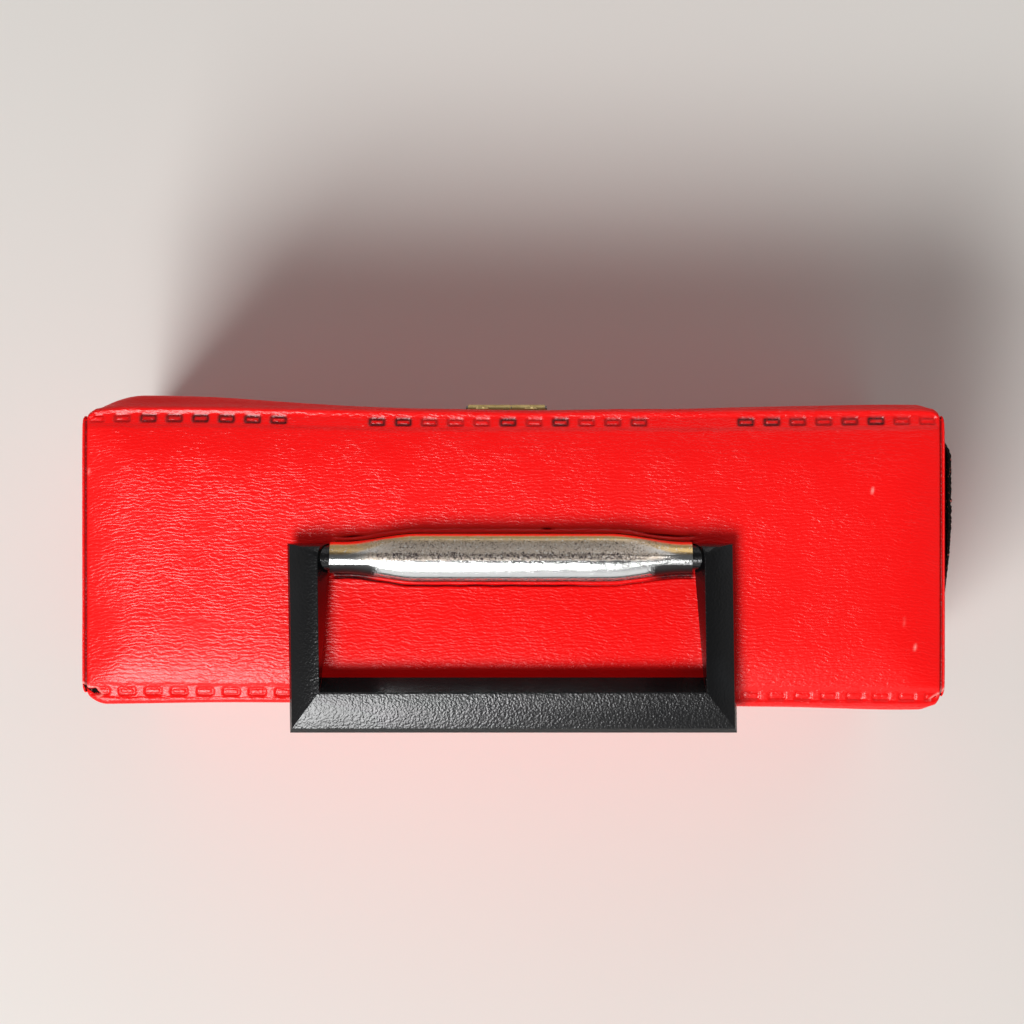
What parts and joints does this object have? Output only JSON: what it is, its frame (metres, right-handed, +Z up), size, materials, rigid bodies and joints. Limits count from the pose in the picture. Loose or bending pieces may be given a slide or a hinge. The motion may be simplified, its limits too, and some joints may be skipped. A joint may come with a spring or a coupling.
{
  "type": "cassette tape case",
  "caption": "Long narrow board case in red grained vinyl with a deep hinged padded lid, a swinging ring handle under a chromed clip, a front latch and a slotted rack inside.",
  "frame": {"origin": "middle of the bottom face", "axes": "+Z up, +X along the case to its right end as seen from the latch side, +Y towards the hinges at the rear"},
  "size_m": [0.2244, 0.0868, 0.1302],
  "materials": {
    "red_vinyl": "grained vinyl leathercloth, satin, saturated red",
    "case_board": "grey-brown pressed board",
    "padding_foam": "thin open-cell foam",
    "lining_paper": "matt flocked paper",
    "rack_plastic": "thin formed polystyrene, satin",
    "divider_plastic": "thin polystyrene sheet, satin",
    "clip_chrome": "chromed steel, pitted and worn",
    "fitting_brass": "brass-plated steel, rubbed",
    "pin_steel": "drawn wire",
    "handle_plastic": "black moulded plastic with a leather grain"
  },
  "bodies": {
    "base": {"base_floor_board": "case_board", "base_front_board": "case_board", "base_rear_board": "case_board", "base_left_board": "case_board", "base_right_board": "case_board", "base_front_cover": "red_vinyl", "base_rear_cover": "red_vinyl", "base_left_cover": "red_vinyl", "base_right_cover": "red_vinyl", "base_bottom_cover": "red_vinyl", "base_lining": "lining_paper", "cassette_rack": "rack_plastic", "divider_01": "divider_plastic", "divider_02": "divider_plastic", "divider_03": "divider_plastic", "divider_04": "divider_plastic", "divider_05": "divider_plastic", "divider_06": "divider_plastic", "divider_07": "divider_plastic", "divider_08": "divider_plastic", "divider_09": "divider_plastic", "divider_10": "divider_plastic", "divider_11": "divider_plastic", "latch_catch": "fitting_brass", "latch_catch_rivets": "fitting_brass", "hinge_left_base_leaf": "fitting_brass", "hinge_right_base_leaf": "fitting_brass", "hinge_left_pin": "pin_steel", "hinge_right_pin": "pin_steel", "hinge_base_rivets": "fitting_brass"},
    "lid": {"lid_top_board": "case_board", "lid_front_board": "case_board", "lid_rear_board": "case_board", "lid_left_board": "case_board", "lid_right_board": "case_board", "lid_padding": "padding_foam", "lid_wrap_cover": "red_vinyl", "lid_left_cover": "red_vinyl", "lid_right_cover": "red_vinyl", "lid_lining": "lining_paper", "handle_clip": "clip_chrome", "latch_plate": "fitting_brass", "latch_plate_rivets": "fitting_brass", "latch_pin": "pin_steel", "hinge_left_lid_leaf": "fitting_brass", "hinge_right_lid_leaf": "fitting_brass", "hinge_lid_rivets": "fitting_brass"},
    "handle": {"handle": "handle_plastic"},
    "latch_tongue": {"latch_tongue": "fitting_brass"}
  },
  "joints": [
    {"name": "lid_hinge", "type": "hinge", "parent": "base", "child": "lid", "pos_m": [0, 0.04055, 0.086], "axis": [-1, 0, 0], "range_deg": [0, 165]},
    {"name": "handle_swing", "type": "hinge", "parent": "lid", "child": "handle", "pos_m": [0, 0, 0.1259], "axis": [1, 0, 0], "range_deg": [0, 180]},
    {"name": "latch_swing", "type": "hinge", "parent": "lid", "child": "latch_tongue", "pos_m": [0.0019, -0.03973, 0.09202], "axis": [-1, 0, 0], "range_deg": [0, 100]}
  ]
}
